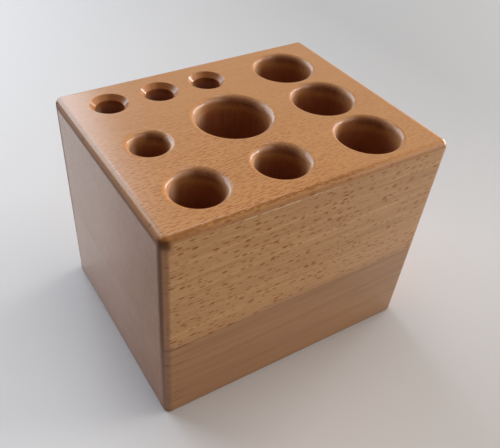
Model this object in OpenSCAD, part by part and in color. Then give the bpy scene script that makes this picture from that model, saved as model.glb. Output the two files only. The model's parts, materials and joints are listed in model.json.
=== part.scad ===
// Tool holder block: two beech boards glued face to face, with ten round holes in the top for tools.
// Millimetres. The origin is the middle of the underside, +Z is up, the grain runs along X
// and the front is the face towards -Y. Every hole is placed from the faces it was marked out from.

/* [Boards] */
// Length of the block, along the grain
block_length = 125; // [117:1:180]
// Depth of the block, from front to back
block_depth = 100; // [97:1:150]
// Height of the block over both boards and the glue
block_height = 98; // [60:1:150]
// Thickness of the lower board, which closes the holes from below
lower_thickness = 42; // [10:0.5:60]
// Thickness of the glue film between the boards
glue_thickness = 0.2; // [0.1:0.05:0.5]

/* [Edges] */
// Radius of the upright edges and of the round-over along the top
edge_radius = 3; // [1:0.5:4]
// Width of the chamfer round the underside
foot_chamfer = 0.5; // [0.2:0.1:1]
// Radius of the round-over at the mouths of the front left hole and of the middle column
rim_radius = 2.75; // [0.5:0.25:3.5]
// Radius of the round-over at the mouths of the medium hole and of the right column
narrow_rim_radius = 2.25; // [0.5:0.25:2.5]
// Width and depth of the countersink at the mouths of the small holes
countersink = 2; // [0.5:0.25:3]

/* [Back row of small holes] */
// Diameter of each small hole
small_d = 12; // [6:0.5:15]
// Number of small holes
small_count = 3; // [1:1:3]
// From the left face to the middle of the first small hole
small_from_left = 18.3; // [14:0.1:20]
// Distance between the middles of neighbouring small holes
small_pitch = 22.6; // [18:0.1:23]
// From the back face to the middles of the small holes
small_from_back = 15.8; // [14:0.1:17]

/* [Left column] */
// Diameter of the medium hole at the left
medium_d = 15; // [8:0.5:18]
// From the left face to the middle of the medium hole
medium_from_left = 20.1; // [15:0.1:25]
// From the front face to the middle of the medium hole
medium_from_front = 51; // [46:0.1:56]
// Diameter of the front left hole
front_left_d = 20; // [10:0.5:23]
// From the left face to the middle of the front left hole
front_left_from_left = 23.4; // [18:0.1:28]

/* [Middle column] */
// Diameter of the front middle hole
front_middle_d = 20; // [10:0.5:23]
// Diameter of the big centre hole
centre_d = 30; // [15:0.5:32]
// From the left face to the middles of the middle column
middle_from_left = 58.4; // [54:0.1:61]
// From the front face to the middles of the front left and front middle holes
front_row_from_front = 19.5; // [17:0.1:22]
// From the front face to the middle of the big centre hole
centre_from_front = 54; // [52:0.1:56]

/* [Right column] */
// Diameter of each hole in the right column
right_d = 25; // [12:0.5:27]
// Number of holes in the right column
right_count = 3; // [1:1:3]
// From the right face to the middle of the front hole of the right column
right_from_right = 25.9; // [22:0.1:27]
// How far each next hole of the right column stands to the right of the one before
right_drift = 0.6; // [-1:0.1:1.5]
// From the front face to the middle of the front hole of the right column
right_from_front = 18.8; // [18:0.1:20]
// Distance from front to back between neighbouring holes of the right column
right_pitch = 30.2; // [29.5:0.1:31.5]

/* [Hidden] */
$fn = 96;

// How far a cutting shape runs past the face that it opens
past = 1;

core_length = block_length - 2 * edge_radius;
core_depth = block_depth - 2 * edge_radius;
glue_bottom = lower_thickness;
upper_bottom = lower_thickness + glue_thickness;
// Thickness of the upper board, which the holes go through
upper_thickness = block_height - upper_bottom;

left_face = -block_length / 2;
right_face = block_length / 2;
front_face = -block_depth / 2;
back_face = block_depth / 2;
front_row_y = front_face + front_row_from_front;
middle_x = left_face + middle_from_left;

// Each hole is [x, y, diameter], and the rounded ones have the radius of their rim as well
small_holes = [
    for (i = [0 : small_count - 1])
        [left_face + small_from_left + i * small_pitch, back_face - small_from_back, small_d]
];
left_holes = [
    [left_face + medium_from_left, front_face + medium_from_front, medium_d, narrow_rim_radius],
    [left_face + front_left_from_left, front_row_y, front_left_d, rim_radius]
];
middle_holes = [
    [middle_x, front_row_y, front_middle_d, rim_radius],
    [middle_x, front_face + centre_from_front, centre_d, rim_radius]
];
right_x = right_face - right_from_right;
right_y = front_face + right_from_front;
right_holes = [
    for (i = [0 : right_count - 1])
        [right_x + i * right_drift, right_y + i * right_pitch, right_d, narrow_rim_radius]
];
rounded_holes = concat(left_holes, middle_holes, right_holes);
all_holes = concat(small_holes, rounded_holes);

// Section of the strip round the upper board: upright outside, rounded over at the top
module rounded_strip() {
    shoulder = upper_thickness - edge_radius;
    square([edge_radius, shoulder]);
    translate([0, shoulder])
        intersection() {
            square(edge_radius);
            circle(edge_radius);
        }
}

// Section of the strip round the lower board: chamfered at the foot, square at the top
module chamfered_strip() {
    polygon([
        [0, 0],
        [edge_radius - foot_chamfer, 0],
        [edge_radius, foot_chamfer],
        [edge_radius, lower_thickness],
        [0, lower_thickness]
    ]);
}

// A block with rounded upright edges: a core, and the strip given as a child round its sides and corners
module edged_block(height) {
    translate([-core_length / 2, -core_depth / 2, 0])
        cube([core_length, core_depth, height]);
    for (quarter = [0 : 3]) {
        on_end = quarter % 2 == 0;
        across = on_end ? core_length : core_depth;
        along = on_end ? core_depth : core_length;
        rotate(90 * quarter)
            translate([across / 2, along / 2, 0]) {
                rotate([90, 0, 0])
                    linear_extrude(along)
                        children();
                rotate_extrude(angle = 90)
                    children();
            }
    }
}

// Cutter for a hole through the upper board whose mouth is rounded over
module rounded_hole(d, rim) {
    bore = d / 2;
    shoulder = upper_thickness - rim;
    rotate_extrude() {
        translate([0, -past])
            square([bore, shoulder + past]);
        translate([0, shoulder])
            difference() {
                square([bore + rim, rim + past]);
                translate([bore + rim, 0])
                    circle(rim);
            }
    }
}

// Cutter for a hole through the upper board whose mouth is countersunk at 45 degrees
module countersunk_hole(d) {
    bore = d / 2;
    shoulder = upper_thickness - countersink;
    rotate_extrude()
        polygon([
            [0, -past],
            [bore, -past],
            [bore, shoulder],
            [bore + countersink + past, upper_thickness + past],
            [0, upper_thickness + past]
        ]);
}

module upper_board() {
    color("peru")
        translate([0, 0, upper_bottom])
            difference() {
                edged_block(upper_thickness)
                    rounded_strip();
                for (hole = rounded_holes)
                    translate([hole.x, hole.y, 0])
                        rounded_hole(hole[2], hole[3]);
                for (hole = small_holes)
                    translate([hole.x, hole.y, 0])
                        countersunk_hole(hole[2]);
            }
}

module glue_line() {
    color("saddlebrown")
        translate([0, 0, glue_bottom])
            difference() {
                edged_block(glue_thickness)
                    square([edge_radius, glue_thickness]);
                for (hole = all_holes)
                    translate([hole.x, hole.y, -past])
                        cylinder(h = glue_thickness + 2 * past, d = hole[2]);
            }
}

module lower_board() {
    color("burlywood")
        edged_block(lower_thickness)
            chamfered_strip();
}

upper_board();
glue_line();
lower_board();
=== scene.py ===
# %% [markdown]
# This lesson dresses a wooden tool holder block for a studio picture. The real block is two beech boards
# glued face to face, planed square, rounded along its edges and drilled with ten round holes that hold
# tools upright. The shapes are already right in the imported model, so nothing is modelled again here.
# The whole lesson is about looks: a camera, soft light, and wood that is painted with nodes alone.

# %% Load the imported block
import json
import math
from types import SimpleNamespace

import bmesh
import bpy
from mathutils import Matrix, Vector


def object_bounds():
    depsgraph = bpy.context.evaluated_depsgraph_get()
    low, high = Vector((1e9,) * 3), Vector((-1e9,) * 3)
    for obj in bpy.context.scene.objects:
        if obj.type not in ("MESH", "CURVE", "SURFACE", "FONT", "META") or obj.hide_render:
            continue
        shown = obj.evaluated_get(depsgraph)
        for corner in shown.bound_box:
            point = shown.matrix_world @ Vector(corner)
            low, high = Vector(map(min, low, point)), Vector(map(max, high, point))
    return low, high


MM = 0.001
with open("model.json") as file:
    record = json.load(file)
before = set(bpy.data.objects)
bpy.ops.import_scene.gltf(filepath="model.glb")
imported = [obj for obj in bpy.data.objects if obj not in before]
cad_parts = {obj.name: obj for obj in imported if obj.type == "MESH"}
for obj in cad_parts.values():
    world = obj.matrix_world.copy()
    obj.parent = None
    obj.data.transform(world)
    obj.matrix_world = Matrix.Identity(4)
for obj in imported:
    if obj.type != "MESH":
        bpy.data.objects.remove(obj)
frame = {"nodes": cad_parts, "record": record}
nodes = frame["nodes"]
cad_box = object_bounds()
block_low, block_high = (Vector(corner) / MM for corner in cad_box)
block_length, block_depth, block_height = block_high - block_low
joint_height = max(vertex.co.z for vertex in nodes["lower_board"].data.vertices) / MM
holes = [mount for mount in frame["record"]["mounts"] if mount["kind"] == "bore"]
print("pieces:", ", ".join(sorted(nodes)))
print(f"block: {block_length:.1f} x {block_depth:.1f} x {block_height:.1f} mm, {len(holes)} holes")
print(f"the boards meet {joint_height:.1f} mm up")

# %% [markdown]
# The camera stands in front of the block's near left corner and looks down on it. A camera can be aimed by
# eye until the picture fits, but here its place was worked out from the block's own edges, so it is written
# as numbers: where the lens is, which way it faces, and how far the picture's middle lies from its axis.
# That middle isn't on the lens axis here, as in a picture cut from a larger one. Blender calls it a shift.

# %% Place the camera
PICTURE_WIDTH = 500
PICTURE_HEIGHT = 448
FOCAL_PIXELS = 598.5
AXIS_PIXEL = Vector((210.9, 249.9))
EYE = Vector((-120.0, -172.3, 223.4)) * MM
HEADING = math.radians(31.69)
DIP = math.radians(43.48)
ROLL = math.radians(2.77)
SENSOR_WIDTH = 36.0
NEAREST_SEEN = 10 * MM


def place_camera():
    """Add the camera, turned from straight down to its heading, dip and roll."""
    lens = bpy.data.cameras.new("camera")
    lens.sensor_width = SENSOR_WIDTH
    lens.lens = SENSOR_WIDTH * FOCAL_PIXELS / PICTURE_WIDTH
    lens.shift_x = (PICTURE_WIDTH / 2 - AXIS_PIXEL.x) / PICTURE_WIDTH
    lens.shift_y = (AXIS_PIXEL.y - PICTURE_HEIGHT / 2) / PICTURE_WIDTH
    lens.clip_start = NEAREST_SEEN
    camera = bpy.data.objects.new("camera", lens)
    turn = Matrix.Rotation(-HEADING, 4, "Z")
    tip = Matrix.Rotation(math.pi / 2 - DIP, 4, "X")
    lean = Matrix.Rotation(ROLL, 4, "Z")
    camera.matrix_world = Matrix.Translation(EYE) @ turn @ tip @ lean
    bpy.context.scene.collection.objects.link(camera)
    bpy.context.scene.camera = camera
    return camera


camera = place_camera()
bpy.context.scene.view_settings.view_transform = "Standard"
print(f"camera: {camera.data.lens:.1f} mm lens, shift {camera.data.shift_x:.3f}, {camera.data.shift_y:.3f}")

# %% [markdown]
# Materials in Blender are trees of nodes. A few small helpers keep the rest of the lesson short. One feeds a
# socket with a link or a plain value, one adds a node and feeds its inputs by name, two do sums on values and
# on vectors, one takes a vector apart and one mixes two colours.

# %% Helpers that add and feed nodes
def feed(tree, socket, value):
    """Link an output into an input, or set the input's own value."""
    if isinstance(value, bpy.types.NodeSocket):
        tree.links.new(value, socket)
    else:
        socket.default_value = value


def put(tree, kind, inputs=None, **menus):
    """Add a node, set its menus and feed its inputs."""
    made = tree.nodes.new(kind)
    for name, value in menus.items():
        setattr(made, name, value)
    for name, value in (inputs or {}).items():
        feed(tree, made.inputs[name], value)
    return made


def calc(tree, operation, *values):
    """One sum on plain values."""
    made = put(tree, "ShaderNodeMath", operation=operation)
    for socket, value in zip(made.inputs, values):
        feed(tree, socket, value)
    return made.outputs[0]


def vector_calc(tree, operation, *values):
    """One sum on vectors."""
    made = put(tree, "ShaderNodeVectorMath", operation=operation)
    for socket, value in zip(made.inputs, values):
        feed(tree, socket, value)
    return made.outputs


def apart(tree, vector):
    """The three parts of a vector."""
    return put(tree, "ShaderNodeSeparateXYZ", {"Vector": vector}).outputs


def blend_colour(tree, share, first, second, how="MIX"):
    """Mix two colours. The Mix node keeps its colour sockets behind those for values and vectors."""
    made = put(tree, "ShaderNodeMix", data_type="RGBA", blend_type=how)
    for socket, value in zip((made.inputs[0], made.inputs[6], made.inputs[7]), (share, first, second)):
        feed(tree, socket, value)
    return made.outputs[2]


print("helpers: feed, put, calc, vector_calc, apart, blend_colour")

# %% [markdown]
# The block stands on a plain pale table. A floor needs no detail, but a perfectly dull one looks like paper,
# so it gets the slight gloss of a painted table top and a trace of unevenness in its roughness. Its tone runs
# from pale at the left to grey at the right.

# %% Lay the table
TABLE_SIZE = 3.0
TABLE_PALE = (0.77, 0.745, 0.74, 1)
TABLE_SHADE_GREY = (0.43, 0.42, 0.415, 1)
TABLE_LEFT = -0.15
TABLE_RIGHT = 0.27
TABLE_GLOSS = 0.3
TABLE_ROUGHNESS = 0.55
CLOUD_STRENGTH = 0.10
CLOUD_SCALE = 3.0


def table_material():
    """Pale satin paint, with painted shade towards the right and faint clouds in its roughness."""
    made = bpy.data.materials.new("pale table")
    made.use_nodes = True
    tree = made.node_tree
    shader = tree.nodes["Principled BSDF"]
    shader.inputs["Specular IOR Level"].default_value = TABLE_GLOSS
    place = put(tree, "ShaderNodeTexCoord").outputs["Object"]
    # Painted shade: pale at the left, grey at the right, as the light falls off away from the window.
    limits = {"Value": apart(tree, place)["X"], "From Min": TABLE_LEFT, "From Max": TABLE_RIGHT}
    share = put(tree, "ShaderNodeMapRange", limits).outputs[0]
    feed(tree, shader.inputs["Base Color"], blend_colour(tree, share, TABLE_PALE, TABLE_SHADE_GREY))
    clouds = put(tree, "ShaderNodeTexNoise", {"Vector": place, "Scale": CLOUD_SCALE}).outputs[0]
    rough = calc(tree, "MULTIPLY_ADD", clouds, CLOUD_STRENGTH, TABLE_ROUGHNESS)
    feed(tree, shader.inputs["Roughness"], rough)
    return made


def lay_table():
    """A wide flat table top under the block."""
    shape = bmesh.new()
    bmesh.ops.create_grid(shape, x_segments=1, y_segments=1, size=TABLE_SIZE / 2)
    mesh = bpy.data.meshes.new("table")
    shape.to_mesh(mesh)
    shape.free()
    mesh.materials.append(table_material())
    table = bpy.data.objects.new("table", mesh)
    bpy.context.scene.collection.objects.link(table)
    return table


lay_table()
print(f"table: {TABLE_SIZE:.0f} m square")

# %% [markdown]
# The light is that of a room with a big cool window behind the block, a warm bright wall low on its right,
# a weak fill from the front and a pale ceiling. Area lamps give such soft light: the larger the lamp, the
# softer its shadow and its gleam. They are placed by a compass bearing and a height angle around the block,
# and each looks at it.

# %% Set the lamps
AIM = Vector((0, 0, 0.05))
LAMP_DISTANCE = 2.4
COOL = (0.69, 0.83, 0.97)
WARM = (1.0, 0.95, 0.90)
WARMER = (1.0, 0.94, 0.87)


def set_lamp(name, bearing, height, size, power, colour):
    """An area lamp that looks at the block. Bearing turns from +X towards +Y, in degrees."""
    lamp = bpy.data.lights.new(name, "AREA")
    lamp.shape = "RECTANGLE"
    lamp.size, lamp.size_y = size
    lamp.energy = power
    lamp.color = colour
    holder = bpy.data.objects.new(name, lamp)
    turn, rise = math.radians(bearing), math.radians(height)
    away = Vector((math.cos(turn) * math.cos(rise), math.sin(turn) * math.cos(rise), math.sin(rise)))
    holder.location = AIM + away * LAMP_DISTANCE
    holder.rotation_euler = away.to_track_quat("Z", "Y").to_euler()
    holder.visible_camera = False
    bpy.context.scene.collection.objects.link(holder)
    return holder


lamps = [
    set_lamp("window", bearing=102, height=31, size=(2.2, 1.75), power=50, colour=COOL),
    set_lamp("right wall", bearing=-2, height=11, size=(2.3, 0.85), power=80, colour=WARM),
    set_lamp("front fill", bearing=-48, height=24, size=(3.2, 2.2), power=22.5, colour=WARMER),
    set_lamp("ceiling", bearing=60, height=76, size=(1.7, 1.7), power=23.5, colour=WARM),
]
print("lamps:", ", ".join(lamp.name for lamp in lamps))

# %% [markdown]
# The world fills the shadows with a little light from everywhere. The camera and the reflections see a plain
# grey backdrop instead. Light Path tells the rays apart, so the backdrop adds nothing to the soft light.

# %% Light the world
AMBIENT = (1.0, 0.97, 0.95, 1)
AMBIENT_STRENGTH = 0.06
BACKDROP = (0.40, 0.40, 0.41, 1)


def light_world():
    """Soft light from all sides, and a plain backdrop for the camera and the reflections."""
    world = bpy.data.worlds.new("room")
    world.use_nodes = True
    tree = world.node_tree
    tree.nodes.clear()
    soft = put(tree, "ShaderNodeBackground", {"Color": AMBIENT, "Strength": AMBIENT_STRENGTH})
    backdrop = put(tree, "ShaderNodeBackground", {"Color": BACKDROP})
    path = put(tree, "ShaderNodeLightPath")
    seen = path.outputs["Is Camera Ray"]
    for ray in ("Is Glossy Ray", "Is Transmission Ray"):
        seen = calc(tree, "MAXIMUM", seen, path.outputs[ray])
    mixed = put(tree, "ShaderNodeMixShader", {"Fac": seen})
    tree.links.new(soft.outputs[0], mixed.inputs[1])
    tree.links.new(backdrop.outputs[0], mixed.inputs[2])
    put(tree, "ShaderNodeOutputWorld", {"Surface": mixed.outputs[0]})
    bpy.context.scene.world = world
    return world


print("world:", light_world().name)

# %% [markdown]
# All the wood is a solid texture: the pattern fills space, and the block is cut out of it, as a real block is
# cut from a tree. So grain runs on over an edge, and end grain shows by itself where the fibres are cut
# across. The patterns read Object coordinates, in millimetres, with the fibres along X. A mark fades in by a
# soft step, whose limits stand together under one name: low and high, then the values at its start and end.

# %% Patterns in millimetres
def place_in_mm(tree):
    """Where a point lies on the block, in millimetres."""
    place = put(tree, "ShaderNodeTexCoord").outputs["Object"]
    return vector_calc(tree, "MULTIPLY", place, (1 / MM, 1 / MM, 1 / MM))[0]


def grain_noise(tree, place, size, detail=2.0, rough=0.5):
    """Noise whose blotches have the given length, depth and height in millimetres."""
    scaled = vector_calc(tree, "DIVIDE", place, size)[0]
    inputs = {"Vector": scaled, "Scale": 1.0, "Detail": detail, "Roughness": rough}
    return put(tree, "ShaderNodeTexNoise", inputs).outputs[0]


def soft_step(tree, value, low, high, start=0.0, end=1.0):
    """Start below low, end above high, and a smooth slope between."""
    inputs = {"Value": value, "From Min": low, "From Max": high, "To Min": start, "To Max": end}
    return put(tree, "ShaderNodeMapRange", inputs, interpolation_type="SMOOTHSTEP").outputs[0]


print("patterns: place, noise and soft steps")

# %% [markdown]
# Marks on wood are masks: values from 0, where a mark is absent, to 1, where it is full. Masks are multiplied
# to keep what they share and compared to keep the stronger one, so these sums get short names.

# %% Sums on masks
def times(tree, first, *others):
    """All values multiplied together."""
    for other in others:
        first = calc(tree, "MULTIPLY", first, other)
    return first


def steps(tree, *pairs):
    """Soft steps multiplied together, each given as a value and its limits."""
    return times(tree, *(soft_step(tree, value, *limits) for value, limits in pairs))


def most(tree, first, *others):
    """The largest of all values."""
    for other in others:
        first = calc(tree, "MAXIMUM", first, other)
    return first


def rest(tree, value):
    """What a mask leaves over."""
    return calc(tree, "SUBTRACT", 1.0, value)


def slide(tree, share, start, end):
    """From start to end, as share goes from 0 to 1."""
    return calc(tree, "MULTIPLY_ADD", share, end - start, start)


def around(tree, value, middle, gain, base):
    """How far a value lies from its middle, times a gain, on top of a base."""
    return calc(tree, "MULTIPLY_ADD", calc(tree, "SUBTRACT", value, middle), gain, base)


print("masks: times, steps, most, rest, slide, around")

# %% [markdown]
# An effect that several materials need is a node group: built once, with named inputs and outputs, and placed
# in each material like a node. Two helpers make a group and place it.

# %% Groups
FLOAT = "NodeSocketFloat"
VECTOR = "NodeSocketVector"
COLOUR = "NodeSocketColor"


def new_group(name, inputs, outputs):
    """Start a node group, and return it with its given inputs and its results."""
    tree = bpy.data.node_groups.new(name, "ShaderNodeTree")
    for socket, kind in inputs.items():
        tree.interface.new_socket(socket, in_out="INPUT", socket_type=kind)
    for socket, kind in outputs.items():
        tree.interface.new_socket(socket, in_out="OUTPUT", socket_type=kind)
    given = tree.nodes.new("NodeGroupInput").outputs
    result = tree.nodes.new("NodeGroupOutput").inputs
    return tree, given, result


def use_group(tree, group, inputs):
    """Place a group in a material and return its outputs."""
    made = put(tree, "ShaderNodeGroup", node_tree=group)
    for name, value in inputs.items():
        feed(tree, made.inputs[name], value)
    return made.outputs


print("groups: new_group, use_group")

# %% [markdown]
# Beech has a plain, even body. Seen close, it has three things: slow changes of tone from one part of the
# board to another, fine streaks where bundles of fibre differ, and pores, the cut ends of the vessels that
# show as tiny dark dashes. All three are noise drawn out along the grain, so one group makes them.

# %% Fibres and pores
HALF = 0.5
MOTTLE_SIZE = (60.0, 14.0, 14.0)
STREAK_SIZE = (26.0, 0.5, 0.5)
BROAD_SIZE = (48.0, 1.7, 1.7)
FINE_SHARE = 0.55
STREAK_STEP = (0.32, 0.68)
PORE_SIZE = (2.6, 0.26, 0.26)
PORE_STEP = (0.56, 0.74)


def fibre_group():
    """Slow tone, fine streaks and pores of beech."""
    outputs = {"Mottle": FLOAT, "Streak": FLOAT, "Pore": FLOAT}
    tree, given, result = new_group("beech fibre", {"Place": VECTOR}, outputs)
    place = given["Place"]
    feed(tree, result["Mottle"], grain_noise(tree, place, MOTTLE_SIZE, detail=3.0))
    fine = grain_noise(tree, place, STREAK_SIZE, detail=4.0, rough=0.65)
    broad = grain_noise(tree, place, BROAD_SIZE, detail=3.0)
    streaks = calc(tree, "MULTIPLY_ADD", fine, FINE_SHARE, times(tree, broad, 1.0 - FINE_SHARE))
    feed(tree, result["Streak"], soft_step(tree, streaks, *STREAK_STEP))
    pores = grain_noise(tree, place, PORE_SIZE, detail=1.0)
    feed(tree, result["Pore"], soft_step(tree, pores, *PORE_STEP))
    return tree


beech_fibre = fibre_group()
print("group:", beech_fibre.name)

# %% [markdown]
# The mark of beech is its rays: ribbons of dark cells that show on the face as short spindles along the
# grain. A Voronoi texture scatters one point in each cell of a grid, and each point becomes one spindle.
# Its distance is measured by hand, longer along the grain, so that the spindle is slim and pointed. Each
# spindle draws its own length, height and depth from the colour of its cell.

# %% Ray flecks
FLECK_POINT = 1.4
FLECK_ROUND = 2.0
FLECK_SOFT = 0.55
LENGTH_SPREAD = (0.25, 0.75)
HEIGHT_SPREAD = (0.32, 0.67)
DEPTH_SPREAD = (0.5, 1.0)


def fleck_group():
    """Spindles scattered over two coordinates, one to a cell, with some cells left empty."""
    names = ("Along", "Across", "Cell length", "Cell height", "Length", "Height", "Share")
    tree, given, result = new_group("ray flecks", dict.fromkeys(names, FLOAT), {"Fleck": FLOAT})
    column = calc(tree, "DIVIDE", given["Along"], given["Cell length"])
    row = calc(tree, "DIVIDE", given["Across"], given["Cell height"])
    spot = put(tree, "ShaderNodeCombineXYZ", {"X": column, "Y": row}).outputs[0]
    cells = put(tree, "ShaderNodeTexVoronoi", {"Vector": spot, "Scale": 1.0}, voronoi_dimensions="2D").outputs
    away = apart(tree, vector_calc(tree, "SUBTRACT", spot, cells["Position"])[0])
    chance = put(tree, "ShaderNodeSeparateColor", {"Color": cells["Color"]}).outputs
    reach = times(tree, given["Length"], slide(tree, chance[0], *LENGTH_SPREAD))
    half = times(tree, given["Height"], slide(tree, chance[1], *HEIGHT_SPREAD))
    along = calc(tree, "ABSOLUTE", times(tree, away["X"], given["Cell length"]))
    across = calc(tree, "ABSOLUTE", times(tree, away["Y"], given["Cell height"]))
    along = calc(tree, "POWER", calc(tree, "DIVIDE", along, reach), FLECK_POINT)
    across = calc(tree, "POWER", calc(tree, "DIVIDE", across, half), FLECK_ROUND)
    inside = rest(tree, calc(tree, "ADD", along, across))
    shape = soft_step(tree, inside, 0.0, FLECK_SOFT)
    kept = calc(tree, "LESS_THAN", chance[2], given["Share"])
    depth = slide(tree, chance[0], *DEPTH_SPREAD)
    feed(tree, result["Fleck"], times(tree, shape, kept, depth))
    return tree


def spindles(tree, along, across, share, sizes):
    """Place the flecks over two coordinates. Share says how many cells have one."""
    return use_group(tree, ray_flecks, {"Along": along, "Across": across, "Share": share, **sizes})["Fleck"]


ray_flecks = fleck_group()
print("group:", ray_flecks.name)

# %% [markdown]
# Growth rings show on the faces as soft bands. Each board was sawn at its own angle, so the bands of the
# upper one climb a little to the right, and those of the lower one lie level and then bend upwards. The group
# gives each point its height among the rings, and each board then colours its bands by that height.

# %% Growth bands
WOBBLE_SIZE = (45.0, 20.0, 12.0)


def band_group():
    """A point's height among the growth rings: its own height, less how far the rings have risen there."""
    inputs = {"Place": VECTOR, "Slope": FLOAT, "Bend": FLOAT, "Lean": FLOAT, "Wobble": FLOAT}
    tree, given, result = new_group("growth bands", inputs, {"Level": FLOAT})
    x, y, z = apart(tree, given["Place"])
    share = calc(tree, "DIVIDE", calc(tree, "SUBTRACT", x, block_low.x), block_length)
    rise = times(tree, given["Slope"], x)
    rise = calc(tree, "MULTIPLY_ADD", given["Bend"], times(tree, share, share), rise)
    rise = calc(tree, "MULTIPLY_ADD", given["Lean"], calc(tree, "SUBTRACT", y, block_low.y), rise)
    rise = around(tree, grain_noise(tree, given["Place"], WOBBLE_SIZE), HALF, given["Wobble"], rise)
    feed(tree, result["Level"], calc(tree, "SUBTRACT", z, rise))
    return tree


def ramp(tree, value, stops):
    """A grey ramp through (place, brightness) stops."""
    made = put(tree, "ShaderNodeValToRGB", {"Fac": value})
    points = made.color_ramp.elements
    while len(points) < len(stops):
        points.new(HALF)
    for point, (at, grey) in zip(points, stops):
        point.position = at
        point.color = (grey, grey, grey, 1)
    return made.outputs["Color"]


def bands_of(tree, place, rings, period, stops):
    """The bands of a board: its ring height, repeated every period and looked up in a ramp."""
    level = use_group(tree, growth_bands, {"Place": place, **rings})["Level"]
    return ramp(tree, calc(tree, "FRACT", calc(tree, "DIVIDE", level, period)), stops)


growth_bands = band_group()
print("group:", growth_bands.name)

# %% [markdown]
# The lacquer is a thin satin film that was sprayed and lightly rubbed. It lies a little unevenly, so the
# gleam is sharper in some places than in others. One group gives the roughness and a very shallow relief.

# %% Satin lacquer
SMEAR_SIZE = (18.0, 9.0, 9.0)
SMEAR_STRENGTH = 0.16
PEEL_SIZE = (1.6, 1.2, 1.2)


def lacquer_group():
    """Uneven roughness and the fine relief of a sprayed film."""
    outputs = {"Roughness": FLOAT, "Relief": FLOAT}
    tree, given, result = new_group("satin lacquer", {"Place": VECTOR, "Roughness": FLOAT}, outputs)
    smear = grain_noise(tree, given["Place"], SMEAR_SIZE, detail=3.0)
    feed(tree, result["Roughness"], around(tree, smear, HALF, SMEAR_STRENGTH, given["Roughness"]))
    feed(tree, result["Relief"], grain_noise(tree, given["Place"], PEEL_SIZE))
    return tree


satin_lacquer = lacquer_group()
print("group:", satin_lacquer.name)

# %% [markdown]
# Hands and tools darken a wooden edge and leave small nicks in it. The group measures how far a point lies
# from the nearest outer edge of the block: of its distances to the three nearest faces, the second smallest
# is the distance to an edge. Noise breaks the nicks up. A dark seam, partly dirt and partly painted shade,
# runs where an end face meets an upright edge, and dirt gathers at the top of the near left corner, where the
# block is taken hold of.

# %% Worn edges
EDGE_REACH = (1.8, 3.0, 1.0, 0.0)
CORNER_REACH = (2.2, 4.6, 1.0, 0.0)
CORNER_DROP = 0.75
SEAM_END = (0.20, 0.80, 1.0, 0.0)
SEAM_SIDE = (3.0, 5.0, 1.0, 0.0)
SEAM_HEIGHT = (0.0, 60.0, 0.4, 1.0)
NICK_SIZE = (2.4, 2.4, 2.4)
NICK_STEP = (0.66, 0.70)


def edge_group():
    """How close a point is to an outer edge, with the nicks, the dark corner and the seams beside it."""
    outputs = {"Edge": FLOAT, "Nick": FLOAT, "Corner": FLOAT, "Seam": FLOAT}
    tree, given, result = new_group("worn edges", {"Place": VECTOR}, outputs)
    x, y, z = apart(tree, given["Place"])
    to_end = calc(tree, "SUBTRACT", block_length / 2, calc(tree, "ABSOLUTE", x))
    to_side = calc(tree, "SUBTRACT", block_depth / 2, calc(tree, "ABSOLUTE", y))
    to_top = calc(tree, "SUBTRACT", block_height, z)
    nearer = calc(tree, "MINIMUM", to_end, to_side)
    further = most(tree, to_end, to_side)
    second = most(tree, nearer, calc(tree, "MINIMUM", further, to_top))
    edge = soft_step(tree, second, *EDGE_REACH)
    feed(tree, result["Edge"], edge)
    furthest = most(tree, further, times(tree, to_top, CORNER_DROP))
    near_left = times(tree, calc(tree, "LESS_THAN", x, 0.0), calc(tree, "LESS_THAN", y, 0.0))
    feed(tree, result["Corner"], times(tree, soft_step(tree, furthest, *CORNER_REACH), near_left))
    feed(tree, result["Seam"], steps(tree, (to_end, SEAM_END), (to_side, SEAM_SIDE), (z, SEAM_HEIGHT)))
    chips = soft_step(tree, grain_noise(tree, given["Place"], NICK_SIZE), *NICK_STEP)
    feed(tree, result["Nick"], times(tree, chips, edge))
    return tree


worn_edges = edge_group()
print("group:", worn_edges.name)

# %% [markdown]
# On the two ends the fibres are cut across, and such end grain drinks more lacquer and turns darker and
# greyer than the sides. Towards the back its tint turns paler and cooler, a painted sheen of the bright table
# that the end faces mirror there, and towards the bottom it is lighter. Both boards show it alike, so one
# group gives the tint that their colour is multiplied with, and how far the lacquer is worn off near the
# front.

# %% End grain
END_FRONT = (0.61, 0.535, 0.475, 1)
END_BACK_SHEEN = (0.76, 0.72, 0.78, 1)
END_DEPTH = (-50.0, 10.0)
END_LOW = (1.25, 1.15, 1.04, 1)
END_HIGH = (0.98, 0.94, 0.89, 1)
END_BARE = 0.35


def end_group():
    """The end grain's tint by how far back and how high a point lies, a painted sheen at the back, and its
    lack of lacquer.
    """
    tree, given, result = new_group("end grain", {"Place": VECTOR}, {"Tint": COLOUR, "Bare": FLOAT})
    spot = apart(tree, given["Place"])
    # Painted sheen: paler and cooler towards the back, where the end faces mirror the bright table.
    tint = blend_colour(tree, soft_step(tree, spot["Y"], *END_DEPTH), END_FRONT, END_BACK_SHEEN)
    height = blend_colour(tree, calc(tree, "DIVIDE", spot["Z"], block_height), END_LOW, END_HIGH)
    feed(tree, result["Tint"], blend_colour(tree, 1.0, tint, height, "MULTIPLY"))
    feed(tree, result["Bare"], soft_step(tree, spot["Y"], *END_DEPTH, END_BARE, 0.0))
    return tree


end_grain_and_sheen = end_group()
print("group:", end_grain_and_sheen.name)

# %% [markdown]
# A drilled hole needs marks of its own: a raw wall, a sanded rim. The model's own record says where each
# hole is, how wide, and how far down its straight wall begins, so a chain of sums finds the distance from any
# point to the nearest hole's wall. Measured in widths of the rim, the same distance tells where a rim ends.

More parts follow.
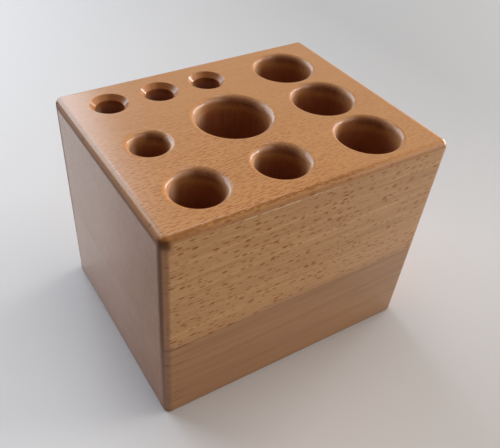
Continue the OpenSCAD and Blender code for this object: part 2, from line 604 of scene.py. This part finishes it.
# %% Distance to the nearest hole
def hole_distance(tree, place, holes, in_rims=False):
    """How far a point lies outside the wall of the nearest hole, in millimetres or in widths of its rim."""
    flat = vector_calc(tree, "MULTIPLY", place, (1, 1, 0))[0]
    nearest = None
    for hole in holes:
        x, y, shoulder = (length / MM for length in hole["pos_m"])
        unit = block_height - shoulder if in_rims else 1.0
        middle = vector_calc(tree, "DISTANCE", flat, (x, y, 0))["Value"]
        wall = calc(tree, "DIVIDE", calc(tree, "SUBTRACT", middle, hole["dims"]["r_mm"]), unit)
        nearest = wall if nearest is None else calc(tree, "MINIMUM", nearest, wall)
    return nearest


small_holes = [hole for hole in holes if hole["name"].startswith("small")]
print("holes:", ", ".join(f"{2 * hole['dims']['r_mm']:.0f} mm" for hole in holes))

# %% [markdown]
# Both boards are painted in the same way, so they start alike: a material, the place of a point on the block
# and the direction in which its surface faces, from the Geometry node. What one step works out and a later
# one needs is kept in a small bundle called wood, and each step lays its marks over the colour it finds.

# %% Start a board
def start_wood(name):
    """A new material with a point's place, its facing and the shared beech patterns at hand."""
    made = bpy.data.materials.new(name)
    made.use_nodes = True
    tree = made.node_tree
    wood = SimpleNamespace(material=made, tree=tree, shader=tree.nodes["Principled BSDF"])
    wood.place = place_in_mm(tree)
    wood.x, wood.y, wood.z = apart(tree, wood.place)
    wood.nx, wood.ny, wood.nz = apart(tree, put(tree, "ShaderNodeNewGeometry").outputs["Normal"])
    wood.to_front = times(tree, wood.ny, -1.0)
    wood.to_end = calc(tree, "ABSOLUTE", wood.nx)
    wood.from_left = calc(tree, "SUBTRACT", wood.x, block_low.x)
    wood.along = calc(tree, "DIVIDE", wood.from_left, block_length)
    wood.fibre = use_group(tree, beech_fibre, {"Place": wood.place})
    wood.edges = use_group(tree, worn_edges, {"Place": wood.place})
    wood.ends = use_group(tree, end_grain_and_sheen, {"Place": wood.place})
    return wood


def paint(wood, share, colour, how="MIX"):
    """Lay a colour over the wood, as far as share says."""
    wood.colour = blend_colour(wood.tree, share, wood.colour, colour, how)


upper = start_wood("upper beech")
print(f"{upper.material.name}: {len(upper.tree.nodes)} nodes to start with")

# %% [markdown]
# The upper board's body comes first. Streaks, clouds and bands together choose a tone between a deep and a
# pale beech, and they show more on the sides than on the top. Then come broad tints: painted light that makes
# the top a little cooler and a painted sheen that makes the sides paler and bluer towards the right, then a
# browner strip above the joint, and the end grain.

# %% Tones of the upper board
UPPER_PALE = (0.58, 0.268, 0.087, 1)
UPPER_DEEP = (0.41, 0.166, 0.044, 1)
UPPER_RINGS = {"Slope": 0.05, "Lean": 0.9, "Wobble": 5.0}
UPPER_PERIOD = 28.0
UPPER_BANDS = [(0.0, 0.45), (0.09, 0.40), (0.11, 0.80), (0.14, 0.45), (0.58, 0.40), (0.61, 0.85),
               (0.65, 0.45), (0.84, 0.42), (0.86, 0.80), (0.89, 0.45), (1.0, 0.45)]
BAND_MIDDLE = 0.45
BAND_SHARE = (1.0, 0.2)
STREAK_SHARE = (0.75, 0.15)
MOTTLE_SHARE = 0.4
WALL_EDGE = (0.1, 0.5)
TOP_FACING = (0.45, 0.85)
SIDE_FACING = (0.55, 0.85)
END_FACING = (0.7, 0.95)
TOP_LIGHT_TINT = (1.02, 1.04, 1.05, 1)
SIDE_LEFT = (0.89, 1.01, 1.11, 1)
SIDE_RIGHT_SHEEN = (1.03, 1.19, 1.34, 1)
FOOT_BROWN = (0.40, 0.185, 0.062, 1)
FOOT_SHARE = 0.6
FOOT_HEIGHT = 6.0


def lay_upper_tones(wood):
    """The plain wood of the upper board, with masks for its sides, its ends and all outside its holes."""
    tree = wood.tree
    wood.outside = soft_step(tree, hole_distance(tree, wood.place, holes), *WALL_EDGE)
    wood.on_side = soft_step(tree, calc(tree, "ABSOLUTE", wood.ny), *SIDE_FACING)
    wood.on_side = times(tree, wood.on_side, wood.outside)
    wood.on_end = soft_step(tree, times(tree, wood.to_end, wood.outside), *END_FACING)
    on_top = soft_step(tree, wood.nz, *TOP_FACING)
    bands = bands_of(tree, wood.place, UPPER_RINGS, UPPER_PERIOD, UPPER_BANDS)
    tone = around(tree, wood.fibre["Streak"], HALF, slide(tree, on_top, *STREAK_SHARE), HALF)
    tone = around(tree, wood.fibre["Mottle"], HALF, MOTTLE_SHARE, tone)
    tone = around(tree, bands, BAND_MIDDLE, slide(tree, on_top, *BAND_SHARE), tone)
    wood.colour = blend_colour(tree, tone, UPPER_DEEP, UPPER_PALE)
    # Painted light: the top is tinted a little cooler, and the sides paler and bluer towards the right as a
    # sheen.
    paint(wood, on_top, TOP_LIGHT_TINT, "MULTIPLY")
    paint(wood, wood.on_side, blend_colour(tree, wood.along, SIDE_LEFT, SIDE_RIGHT_SHEEN), "MULTIPLY")
    foot = soft_step(tree, wood.z, joint_height, joint_height + FOOT_HEIGHT, FOOT_SHARE, 0.0)
    paint(wood, times(tree, foot, wood.on_side), FOOT_BROWN)
    paint(wood, wood.on_end, wood.ends["Tint"], "MULTIPLY")


lay_upper_tones(upper)
print(f"tones: {len(UPPER_BANDS)} stops in bands that repeat every {UPPER_PERIOD:.0f} mm")

# %% [markdown]
# The board was sawn so that on its front the rays are cut across and show as bold spindles, in chains, with
# slimmer ones between. On the top the same rays are cut at a slant and show as crowds of fine dashes,
# plainest at the near left. Pores lie everywhere.

# %% Rays of the upper board
FLECK_BROWN = (0.245, 0.062, 0.004, 1)
FLECK_SHARE = 0.96
FLECK_RIGHT = (0.0, 55.0, 1.0, 0.75)
RAY_SLOPE = -0.03
BOLD_RAY = {"Cell length": 4.2, "Cell height": 2.1, "Length": 2.4, "Height": 0.92}
CHAIN_SIZE = (16.0, 8.0, 2.6)
CHAIN_STEP = (0.30, 0.62)
SLIM_RAY = {"Cell length": 3.0, "Cell height": 1.9, "Length": 1.5, "Height": 0.5}
SLIM_SHIFT = 300.0
SLIM_SHARE = 0.6
SLIM_STRENGTH = 0.5
DASH_BROWN = (0.34, 0.096, 0.016, 1)
DASH_RAY = {"Cell length": 2.3, "Cell height": 0.95, "Length": 2.7, "Height": 0.44}
DASH_FACING = (0.80, 0.97)
DASH_BACK = (-25.0, 30.0, 1.0, 0.4)
DASH_RIGHT = (-20.0, 45.0, 1.0, 0.5)
CROWD_SIZE = (30.0, 16.0, 16.0)
CROWD_STEP = (0.16, 0.50)
PORE_SHARE = (0.18, 0.34)


def lay_rays(wood):
    """Spindles on the sides, dashes on the top and pores all over."""
    tree, x, y = wood.tree, wood.x, wood.y
    climb = calc(tree, "MULTIPLY_ADD", x, RAY_SLOPE, wood.z)
    chain = soft_step(tree, grain_noise(tree, wood.place, CHAIN_SIZE, detail=1.0), *CHAIN_STEP)
    bold = spindles(tree, x, climb, chain, BOLD_RAY)
    slim = spindles(tree, calc(tree, "ADD", x, SLIM_SHIFT), climb, SLIM_SHARE, SLIM_RAY)
    rays = most(tree, bold, times(tree, slim, SLIM_STRENGTH))
    wood.flecks = times(tree, rays, wood.on_side, soft_step(tree, x, *FLECK_RIGHT))
    crowd = soft_step(tree, grain_noise(tree, wood.place, CROWD_SIZE), *CROWD_STEP)
    dashes = spindles(tree, x, y, crowd, DASH_RAY)
    boldness = steps(tree, (wood.nz, DASH_FACING), (y, DASH_BACK), (x, DASH_RIGHT))
    wood.dashes = times(tree, dashes, boldness)
    wood.pores = times(tree, wood.fibre["Pore"], slide(tree, wood.on_side, *PORE_SHARE))
    paint(wood, wood.dashes, DASH_BROWN)
    paint(wood, times(tree, wood.flecks, FLECK_SHARE), FLECK_BROWN)
    paint(wood, wood.pores, FLECK_BROWN)


lay_rays(upper)
print(f"rays: spindles up to {BOLD_RAY['Length']:.1f} mm long on the front, dashes on the top")

# %% [markdown]
# Deep inside, a hole has hardly any lacquer: its wall is raw, with upright scores, and it turns darker with
# depth, partly raw wood and partly painted shade. On the left walls, which face the low lamp on the right,
# the wood is painted pale below the rim as painted light. The small holes are painted brown close under their
# mouths, as painted shade.

# %% Walls of the holes
BORE_SHADE_BROWN = (0.30, 0.090, 0.044, 1)
SMALL_BORE_SHADE_BROWN = (0.31, 0.122, 0.080, 1)
BORE_SHARE = 0.8
BORE_DEPTH = (3.0, 8.5)
SMALL_BORE_DEPTH = (1.8, 3.5)
LEFT_WALL_LIGHT = (0.93, 0.60, 0.38, 1)
LIT_WALL_TOP = (2.5, 6.0, 0.5, 1.0)
LIT_WALL_END = (7.0, 17.0, 1.0, 0.0)
LIT_WALL_TILT = (0.28, 0.62, 1.0, 0.0)
LIT_WALL_LEFT = (0.15, 0.65, 0.0, 0.94)
TORN_AND_SHADE_BROWN = (0.17, 0.049, 0.020, 1)
SCORE_SIZE = (0.8, 0.8, 26.0)
SCORE_STEP = (0.5, 0.72)
SCORE_SHARE = 0.35


def lay_walls(wood):
    """Bores darkened as painted shade, left walls paled as painted light, and the scores of the bit."""
    tree = wood.tree
    inside = rest(tree, wood.outside)
    wood.below = calc(tree, "SUBTRACT", block_height, wood.z)
    wood.bore = times(tree, inside, soft_step(tree, wood.below, *BORE_DEPTH))
    in_small = soft_step(tree, hole_distance(tree, wood.place, small_holes), *WALL_EDGE, start=1.0, end=0.0)
    small_bore_shade = times(tree, in_small, soft_step(tree, wood.below, *SMALL_BORE_DEPTH))
    # Painted shade: the bores darken with depth, the small ones close under their mouths.
    paint(wood, times(tree, wood.bore, BORE_SHARE), BORE_SHADE_BROWN)
    paint(wood, times(tree, small_bore_shade, BORE_SHARE), SMALL_BORE_SHADE_BROWN)
    # Painted light: the left walls, facing the low lamp on the right, turn pale below the rim.
    height = steps(tree, (wood.below, LIT_WALL_TOP), (wood.below, LIT_WALL_END))
    left = steps(tree, (wood.nx, LIT_WALL_LEFT), (wood.nz, LIT_WALL_TILT))
    wood.rubbed = times(tree, inside, height, left)
    paint(wood, wood.rubbed, LEFT_WALL_LIGHT)
    scores = soft_step(tree, grain_noise(tree, wood.place, SCORE_SIZE), *SCORE_STEP)
    paint(wood, times(tree, scores, wood.bore, SCORE_SHARE), TORN_AND_SHADE_BROWN)


lay_walls(upper)
print(f"walls: {len(holes)} bores, {len(small_holes)} of them small")

# %% [markdown]
# A cutter goes with the grain on two quarters of a rim and against it on the other two, and there it tears
# the fibres. The product of the surface's X and Y directions is positive on just those two quarters, so it
# finds them. Their dark brown is torn fibres, and on the quarter that faces the dark front left of the room
# it is also painted shade. The rest of a rim is sanded, the left rims away from the left end are darkened as
# painted shade, and the small holes have a plain brown cone.

# %% Rims of the holes
RIM_REACH = (0.8, 1.2, 1.0, 0.0)
RIM_DEPTH = (2.5, 5.5, 1.0, 0.0)
RIM_BROWN = (0.44, 0.225, 0.135, 1)
SANDED_TILT = (0.05, 0.35)
SANDED_SHARE = 0.5
FUZZ_SIZE = (0.9, 0.35, 0.35)
FUZZ_STEP = (0.25, 0.55)
FLAT_GUARD = 1.02
TORN_SHADED_QUARTER = (0.08, 0.42)
TORN_SHADED_TILT = (0.5, 0.98, 1.0, 0.35)
TORN_SHADED_SHARE = 0.75
FACES_RIGHT_COLUMN = (12.0, 24.0, 0.0, 0.15)
FACES_RIGHT_TILT = (0.1, 0.6)
AWAY_FROM_LEFT = (-30.0, -5.0)
SHADED_BROWN = (0.35, 0.150, 0.058, 1)
SHADED_TILT = (0.5, 0.75)
SHADED_SHARE = 0.6
CONE_BROWN = (0.40, 0.142, 0.034, 1)
CONE_SHARE = 0.8


def mark_rims(wood):
    """Find the rims, the cones of the small holes, the quarters of tear-out and painted shade, and the left
    sides.
    """
    tree = wood.tree
    reach = soft_step(tree, hole_distance(tree, wood.place, holes, in_rims=True), *RIM_REACH)
    wood.rim = times(tree, reach, soft_step(tree, wood.below, *RIM_DEPTH))
    small_reach = soft_step(tree, hole_distance(tree, wood.place, small_holes, in_rims=True), *RIM_REACH)
    wood.cone = times(tree, wood.rim, small_reach)
    slope = calc(tree, "SUBTRACT", FLAT_GUARD, times(tree, wood.nz, wood.nz))
    quarter = calc(tree, "DIVIDE", times(tree, wood.nx, wood.ny), slope)
    wood.rough_rim = times(tree, wood.rim, soft_step(tree, quarter, *TORN_SHADED_QUARTER))
    tilt = calc(tree, "ADD", wood.nx, soft_step(tree, wood.x, *FACES_RIGHT_COLUMN))
    wood.leaned_on = soft_step(tree, tilt, *FACES_RIGHT_TILT)
    wood.away_from_left = soft_step(tree, wood.x, *AWAY_FROM_LEFT)


def lay_rims(wood):
    """Sanded rims, painted shade on the left rims and on the quarters of tear-out, and brown cones."""
    tree, nz = wood.tree, wood.nz
    spared = rest(tree, most(tree, wood.cone, wood.rubbed))
    sanded = times(tree, wood.rim, soft_step(tree, rest(tree, nz), *SANDED_TILT), spared)
    paint(wood, times(tree, sanded, SANDED_SHARE), RIM_BROWN)
    # Painted shade: the left rims away from the left end are darkened.
    shaded = times(tree, wood.rim, wood.leaned_on, wood.away_from_left, rest(tree, wood.cone))
    paint(wood, times(tree, shaded, soft_step(tree, nz, *SHADED_TILT), SHADED_SHARE), SHADED_BROWN)
    paint(wood, times(tree, wood.cone, CONE_SHARE), CONE_BROWN)
    wood.fuzz = grain_noise(tree, wood.place, FUZZ_SIZE, detail=3.0, rough=0.6)
    # Tear-out and painted shade: the quarter that faces the dark front left of the room is darkened.
    torn_and_shaded = steps(tree, (wood.fuzz, FUZZ_STEP), (nz, TORN_SHADED_TILT))
    paint(wood, times(tree, wood.rough_rim, torn_and_shaded, TORN_SHADED_SHARE), TORN_AND_SHADE_BROWN)


mark_rims(upper)
lay_rims(upper)
print(f"rims: {len(upper.tree.nodes)} nodes in the upper board so far")

# %% [markdown]
# The outer edges are dirty from use, and those that face the dark front of the room carry painted shade
# too. The upright ones are brown, with a dark seam beside the end face, both partly dirt and partly painted
# shade. The front edge of the top carries a broken dark line, whole near the left corner and gone at the
# right, partly dirt and partly painted shade. Each end face has a thin dark rail right under its upper edge,
# painted shade where the rounding mirrors the dark side of the room.

# %% Worn edges of the upper board
EDGE_DIRT_AND_SHADE = (0.34, 0.130, 0.038, 1)
EDGE_SHARE = 0.68
UPRIGHT_TILT = (0.4, 0.85, 1.0, 0.0)
SEAM_DIRT_AND_SHADE = (0.145, 0.056, 0.026, 1)
SEAM_SHARE = 0.8
LIP_DIRT_AND_SHADE = (0.24, 0.082, 0.016, 1)
LIP_SHARE = 0.72
LIP_TILT = (0.25, 0.5)
LIP_FRONT = (0.12, 0.35)
LIP_RIGHT = (5.0, 45.0, 1.0, 0.0)
DULL_FRONT = (0.04, 0.16, 0.0, 0.5)
LINE_SIZE = (2.0, 0.9, 0.9)
LINE_STEP = (0.36, 0.54)
LINE_TILT = (0.66, 0.80)
LINE_CORNER = (4.0, 24.0, 0.7, 0.0)
RAIL_SHADE_BROWN = (0.20, 0.068, 0.022, 1)
RAIL_SHARE = 0.7
RAIL_DROP = (4.7, 3.7)
RAIL_TILT = (0.15, 0.45, 1.0, 0.0)
RAIL_END = (0.5, 0.8)


def lay_dirt_and_shade(wood):
    """Upright edges and seams and the front lip's broken line, of dirt and painted shade, and rails of
    painted shade.
    """
    tree, nz = wood.tree, wood.nz
    edge = wood.edges["Edge"]
    wood.upright_edge = times(tree, edge, soft_step(tree, nz, *UPRIGHT_TILT))
    # Dirt and painted shade: brown upright edges and dark seams beside the end faces.
    paint(wood, times(tree, wood.upright_edge, EDGE_SHARE), EDGE_DIRT_AND_SHADE)
    paint(wood, times(tree, wood.edges["Seam"], SEAM_SHARE), SEAM_DIRT_AND_SHADE)

    rounded = times(tree, edge, wood.outside, soft_step(tree, nz, *LIP_TILT))
    wood.dull_lip = times(tree, rounded, soft_step(tree, wood.to_front, *DULL_FRONT))
    wood.lip = times(tree, rounded, steps(tree, (wood.to_front, LIP_FRONT), (wood.x, LIP_RIGHT)))
    line = steps(tree, (grain_noise(tree, wood.place, LINE_SIZE, detail=3.0), LINE_STEP), (nz, LINE_TILT))
    line = most(tree, line, soft_step(tree, wood.from_left, *LINE_CORNER))
    # Dirt and painted shade: a broken dark line on the front lip, fading out to the right.
    paint(wood, times(tree, wood.lip, line, LIP_SHARE), LIP_DIRT_AND_SHADE)

    heights = [block_height - drop for drop in RAIL_DROP]
    rail = steps(tree, (wood.z, heights), (nz, RAIL_TILT), (wood.to_end, RAIL_END))
    wood.rail = times(tree, rail, wood.outside)
    # Painted shade: a thin dark rail right under the upper edge of each end face.
    paint(wood, times(tree, wood.rail, RAIL_SHARE), RAIL_SHADE_BROWN)


lay_dirt_and_shade(upper)
print(f"edges: a rail that starts {RAIL_DROP[0]:.1f} mm under the top, a lip along the front")

# %% [markdown]
# Knocks leave small damage. Under the front lip runs a pale broken line, a painted glint where the rounding
# meets the front face. Nicks sit on the edges, the top of the near left corner is bruised dark, and two dents
# lie on the upper edge of the left end. The damage is far shallower than a millimetre, so colour alone shows
# it well.

# %% Chips and dents
GLINT_PALE = (0.84, 0.66, 0.46, 1)
RIDGE_DROP = 3.0
RIDGE_WIDTH = (0.12, 0.40, 1.0, 0.0)
RIDGE_FRONT = (0.6, 0.9)
RIDGE_RIGHT = (0.0, 14.0, 1.0, 0.0)
RIDGE_SIZE = (3.6, 2.0, 2.0)
RIDGE_STEP = (0.42, 0.54)
RIDGE_SHARE = (-50.0, -15.0, 0.15, 0.40)
NICK_SHARE = 0.3
CORNER_BROWN = (0.12, 0.042, 0.012, 1)
CORNER_TILT = (0.50, 0.80, 0.9, 0.0)
DENTS = [((-62.0, 17.0, 96.0), 1.1), ((-61.5, -40.0, 97.2), 0.7)]
DENT_SHARE = 0.7


def lay_damage_and_glint(wood):
    """The painted glint line under the front lip, nicks, the bruised corner and the dents."""
    tree = wood.tree
    # Painted glint: a pale broken line along the foot of the front lip's rounding.
    off = calc(tree, "ABSOLUTE", calc(tree, "SUBTRACT", wood.z, block_height - RIDGE_DROP))
    glint_line = steps(tree, (off, RIDGE_WIDTH), (wood.to_front, RIDGE_FRONT), (wood.x, RIDGE_RIGHT))
    glint_gaps = steps(tree, (grain_noise(tree, wood.place, RIDGE_SIZE), RIDGE_STEP), (wood.x, RIDGE_SHARE))
    paint(wood, times(tree, glint_line, glint_gaps, wood.outside), GLINT_PALE)
    paint(wood, times(tree, wood.edges["Nick"], NICK_SHARE), TORN_AND_SHADE_BROWN)
    paint(wood, times(tree, wood.edges["Corner"], soft_step(tree, wood.nz, *CORNER_TILT)), CORNER_BROWN)
    for spot, size in DENTS:
        away = vector_calc(tree, "DISTANCE", wood.place, spot)["Value"]
        paint(wood, soft_step(tree, away, size / 2, size, DENT_SHARE, 0.0), TORN_AND_SHADE_BROWN)


lay_damage_and_glint(upper)
print(f"damage: a painted glint line {RIDGE_DROP:.0f} mm under the top, {len(DENTS)} dents")

# %% [markdown]
# Last comes the lacquer. Principled BSDF has a coat for it, a clear layer over the wood, and the coat's
# weight says where it is still whole. Both boards are finished by one function. What doesn't change over the
# surface is set on the shader's own sockets.

# %% Finish a board
COAT_ROUGHNESS = 0.18
WOOD_GLOSS = 0.15
RAW_ROUGHER = 0.3
WOOD_RELIEF = {"Distance": 0.04 * MM, "Strength": 0.6}


def finish_wood(wood, film, bare, raw_and_shaded, relief):
    """Feed the shader: colour, lacquer where the wood isn't bare, roughness and fine relief."""
    tree, sockets = wood.tree, wood.shader.inputs
    feed(tree, sockets["Base Color"], wood.colour)
    feed(tree, sockets["Coat Weight"], rest(tree, bare))
    feed(tree, sockets["Roughness"], calc(tree, "MULTIPLY_ADD", raw_and_shaded, RAW_ROUGHER, film["Roughness"]))
    bump = put(tree, "ShaderNodeBump", {"Height": relief, **WOOD_RELIEF})
    feed(tree, sockets["Normal"], bump.outputs[0])
    sockets["Coat Roughness"].default_value = COAT_ROUGHNESS
    sockets["Specular IOR Level"].default_value = WOOD_GLOSS


print(f"finish: coat roughness {COAT_ROUGHNESS}")

# %% [markdown]
# On the upper board the lacquer is worn off the edges and rims, nearly missing in the bores, and sunk in over
# rays and end grain. Each of these is a mask from an earlier step, and the strongest one says how bare a spot
# is. Rays and pores also lie a hair lower than the film, and the fibres of the rims stand up.

# %% Lacquer of the upper board
UPPER_ROUGHNESS = 0.45
EDGE_BARE = 0.4
SHOULDER_END = (0.2, 0.5)
HELD_FRONT = (-50.0, -20.0, 0.6, 0.35)
HELD_TILT = (0.65, 0.95, 0.1, 0.7)
BRINK_END = (0.03, 0.12, 0.0, 0.75)
BRINK_TILT = (0.82, 0.96)
BRINK_FRONT = (-45.0, -10.0, 1.0, 0.0)
RIM_BARE = 0.1
LEANED_BARE = (0.8, 0.35)
COLUMN_BARE = (0.65, 1.0)
RIGHT_RIM = (0.3, 0.7, 0.0, 0.45)
RIGHT_RIM_TILT = (0.75, 0.95, 1.0, 0.0)
LIP_BARE = 0.8
RAIL_BARE = 0.95
BORE_BARE = 0.9
FLECK_BARE = 0.8
DASH_BARE = (-58.0, -46.0, 0.0, 0.4)
PEEL_HEIGHT = 0.5
DASH_SUNK = 0.05
FLECK_SUNK = 0.5
PORE_SUNK = 0.3
FUZZ_HEIGHT = 4.0


def bare_rims(wood):
    """How far the lacquer is worn off the rims: most on the left ones, less on the right ones."""
    tree = wood.tree
    left = times(tree, wood.leaned_on, slide(tree, wood.cone, *LEANED_BARE))
    left = calc(tree, "MULTIPLY_ADD", left, slide(tree, wood.away_from_left, *COLUMN_BARE), RIM_BARE)
    right = steps(tree, (times(tree, wood.nx, -1.0), RIGHT_RIM), (wood.nz, RIGHT_RIM_TILT))
    return times(tree, wood.rim, most(tree, left, times(tree, right, wood.away_from_left)))


def bare_ends(wood):
    """How far the lacquer is worn off the upper edges of the ends, most near the front."""
    tree = wood.tree
    shoulder = times(tree, wood.to_end, wood.edges["Edge"])
    held = steps(tree, (shoulder, SHOULDER_END), (wood.y, HELD_FRONT), (wood.nz, HELD_TILT))
    brink = steps(tree, (wood.to_end, BRINK_END), (wood.nz, BRINK_TILT), (wood.y, BRINK_FRONT))
    return most(tree, held, times(tree, brink, wood.outside))


def lacquer_upper(wood):
    """The lacquer of the upper board, with all that has worn or sunk in it."""
    tree, edges = wood.tree, wood.edges
    worn = [bare_rims(wood), bare_ends(wood), wood.dull_lip, wood.rough_rim, edges["Corner"], edges["Seam"]]
    for mask, share in ((wood.upright_edge, EDGE_BARE), (wood.lip, LIP_BARE), (wood.rail, RAIL_BARE),
                        (wood.bore, BORE_BARE), (wood.flecks, FLECK_BARE), (wood.on_end, wood.ends["Bare"]),
                        (wood.dashes, soft_step(tree, wood.x, *DASH_BARE))):
        worn.append(times(tree, mask, share))
    film = use_group(tree, satin_lacquer, {"Place": wood.place, "Roughness": UPPER_ROUGHNESS})
    relief = times(tree, film["Relief"], PEEL_HEIGHT)
    for mark, depth in ((wood.dashes, DASH_SUNK), (wood.flecks, FLECK_SUNK), (wood.pores, PORE_SUNK)):
        relief = calc(tree, "MULTIPLY_ADD", mark, -depth, relief)
    relief = calc(tree, "MULTIPLY_ADD", times(tree, wood.rim, wood.fuzz), FUZZ_HEIGHT, relief)
    finish_wood(wood, film, most(tree, *worn), wood.bore, relief)


lacquer_upper(upper)
print(f"{upper.material.name}: {len(upper.tree.nodes)} nodes in all")

# %% [markdown]
# The lower board is quieter: no spindles on its front, only soft brown bands that lie level at the left and
# rise towards the right, and a slightly deeper colour than the upper board's. Towards the right it turns a
# little paler and bluer, a painted sheen. On the ends the two boards look alike.

# %% Tones of the lower board
LOWER_PALE = (0.41, 0.190, 0.064, 1)
LOWER_DEEP = (0.27, 0.115, 0.034, 1)
LOWER_RINGS = {"Bend": 5.5, "Lean": 0.15, "Wobble": 2.0}
LOWER_PERIOD = 42.0
LOWER_BANDS = [(0.0, 0.40), (0.24, 0.45), (0.27, 0.10), (0.32, 0.40), (0.57, 0.45), (0.61, 0.05),
               (0.66, 0.75), (0.72, 0.50), (0.86, 0.45), (0.885, 0.0), (0.93, 0.35), (1.0, 0.40)]
LOWER_BAND_MIDDLE = 0.4
LOWER_BAND_SHARE = 0.6
LOWER_LEFT = (0.96, 0.95, 0.93, 1)
LOWER_RIGHT_SHEEN = (1.04, 1.07, 1.06, 1)
LOWER_PORE_SHARE = 0.15


def lay_lower_tones(wood):
    """The plain wood of the lower board, its end grain and its pores."""
    tree, fibre = wood.tree, wood.fibre
    bands = bands_of(tree, wood.place, LOWER_RINGS, LOWER_PERIOD, LOWER_BANDS)
    tone = calc(tree, "MULTIPLY_ADD", fibre["Streak"], HALF, times(tree, fibre["Mottle"], HALF))
    tone = around(tree, bands, LOWER_BAND_MIDDLE, LOWER_BAND_SHARE, tone)
    wood.colour = blend_colour(tree, tone, LOWER_DEEP, LOWER_PALE)
    # Painted sheen: the whole board turns a little paler and bluer towards the right.
    paint(wood, 1.0, blend_colour(tree, wood.along, LOWER_LEFT, LOWER_RIGHT_SHEEN), "MULTIPLY")
    end_colour = blend_colour(tree, tone, UPPER_DEEP, UPPER_PALE)
    end_colour = blend_colour(tree, 1.0, end_colour, wood.ends["Tint"], "MULTIPLY")
    wood.on_end = soft_step(tree, wood.to_end, *END_FACING)
    paint(wood, wood.on_end, end_colour)
    wood.pores = times(tree, fibre["Pore"], LOWER_PORE_SHARE)
    paint(wood, wood.pores, FLECK_BROWN)


lower = start_wood("lower beech")
lay_lower_tones(lower)
print(f"tones: {len(LOWER_BANDS)} stops in bands that repeat every {LOWER_PERIOD:.0f} mm")

# %% [markdown]
# Near the left corner the front has dried out in short dark checks along the grain, and the joint stands a
# little open there. Checks are long slim spindles, so the ray flecks make them too. The board's top is the
# floor of the holes: raw wood, painted dark with the bores' brown as painted shade. Then it gets the same
# lacquer as the upper board.

# %% Checks and lacquer of the lower board
LOWER_ROUGHNESS = 0.40
LOWER_EDGE_SHARE = 0.12
CHECK_BROWN = (0.135, 0.050, 0.018, 1)
CHECK_RAY = {"Cell length": 9.0, "Cell height": 4.2, "Length": 9.0, "Height": 0.65}
CHECK_SHARE = 0.85
CHECK_STRENGTH = 0.9
CHECK_END = (6.0, 15.0, 1.0, 0.0)
CHECK_FRONT = (0.2, 0.5)
GAP_DROP = (0.8, 0.4)
GAP_STRENGTH = 0.5
RAW_FACING = (0.8, 0.95)
RAW_SHARE = 0.7


def finish_lower(wood):
    """Edges and seams of dirt and painted shade, checks, the open joint, hole floors in painted shade, and
    the lacquer around them.
    """
    tree, edges = wood.tree, wood.edges
    # Dirt and painted shade on the edges and seams, as on the upper board.
    paint(wood, times(tree, edges["Edge"], LOWER_EDGE_SHARE), EDGE_DIRT_AND_SHADE)
    paint(wood, times(tree, edges["Seam"], SEAM_SHARE), SEAM_DIRT_AND_SHADE)
    near = steps(tree, (wood.from_left, CHECK_END), (wood.to_front, CHECK_FRONT))
    checks = spindles(tree, wood.x, wood.z, CHECK_SHARE, CHECK_RAY)
    paint(wood, times(tree, checks, near, CHECK_STRENGTH), CHECK_BROWN)
    gap = times(tree, near, soft_step(tree, wood.z, *(joint_height - drop for drop in GAP_DROP)))
    paint(wood, times(tree, gap, GAP_STRENGTH), CHECK_BROWN)
    # Painted shade: the floors at the bottom of the holes take the dark brown of the bores.
    raw_and_shaded = soft_step(tree, wood.nz, *RAW_FACING)
    paint(wood, times(tree, raw_and_shaded, RAW_SHARE), BORE_SHADE_BROWN)
    split = times(tree, most(tree, checks, gap), near)
    bare = most(tree, raw_and_shaded, times(tree, edges["Edge"], EDGE_BARE), edges["Seam"], split)
    bare = most(tree, bare, times(tree, wood.on_end, wood.ends["Bare"]))
    film = use_group(tree, satin_lacquer, {"Place": wood.place, "Roughness": LOWER_ROUGHNESS})
    relief = calc(tree, "SUBTRACT", film["Relief"], wood.pores)
    finish_wood(wood, film, bare, raw_and_shaded, relief)


finish_lower(lower)
print(f"{lower.material.name}: {len(lower.tree.nodes)} nodes in all")

# %% [markdown]
# The glue line is a film of cured wood glue, thinner than a sheet of card. It shows as one dark line where
# the boards meet. Dark and pale stretches alternate in it, because the joint is closed tighter in places.

# %% The glue line
GLUE_DARK = (0.075, 0.032, 0.014, 1)
GLUE_PALE = (0.22, 0.105, 0.045, 1)
GLUE_PATCH = (9.0, 9.0, 9.0)
GLUE_STEP = (0.35, 0.7)
GLUE_ROUGHNESS = 0.5
GLUE_RELIEF = {"Distance": 0.02 * MM, "Strength": 0.5}


def wood_glue():
    """A thin brown film, darker and paler by turns."""
    made = bpy.data.materials.new("wood glue")
    made.use_nodes = True
    tree = made.node_tree
    sockets = tree.nodes["Principled BSDF"].inputs
    place = place_in_mm(tree)
    patches = soft_step(tree, grain_noise(tree, place, GLUE_PATCH, detail=3.0), *GLUE_STEP)
    feed(tree, sockets["Base Color"], blend_colour(tree, patches, GLUE_DARK, GLUE_PALE))
    film = use_group(tree, satin_lacquer, {"Place": place, "Roughness": GLUE_ROUGHNESS})
    feed(tree, sockets["Roughness"], film["Roughness"])
    bump = put(tree, "ShaderNodeBump", {"Height": film["Relief"], **GLUE_RELIEF})
    feed(tree, sockets["Normal"], bump.outputs[0])
    return made


glue = wood_glue()
print("material:", glue.name)

# %% [markdown]
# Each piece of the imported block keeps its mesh. Only the material in its slot is exchanged.

# %% Dress the pieces
finishes = {"upper_board": upper.material, "glue_line": glue, "lower_board": lower.material}
for name, finish in finishes.items():
    for slot in nodes[name].material_slots:
        slot.material = finish
    print(name, "wears", finish.name)
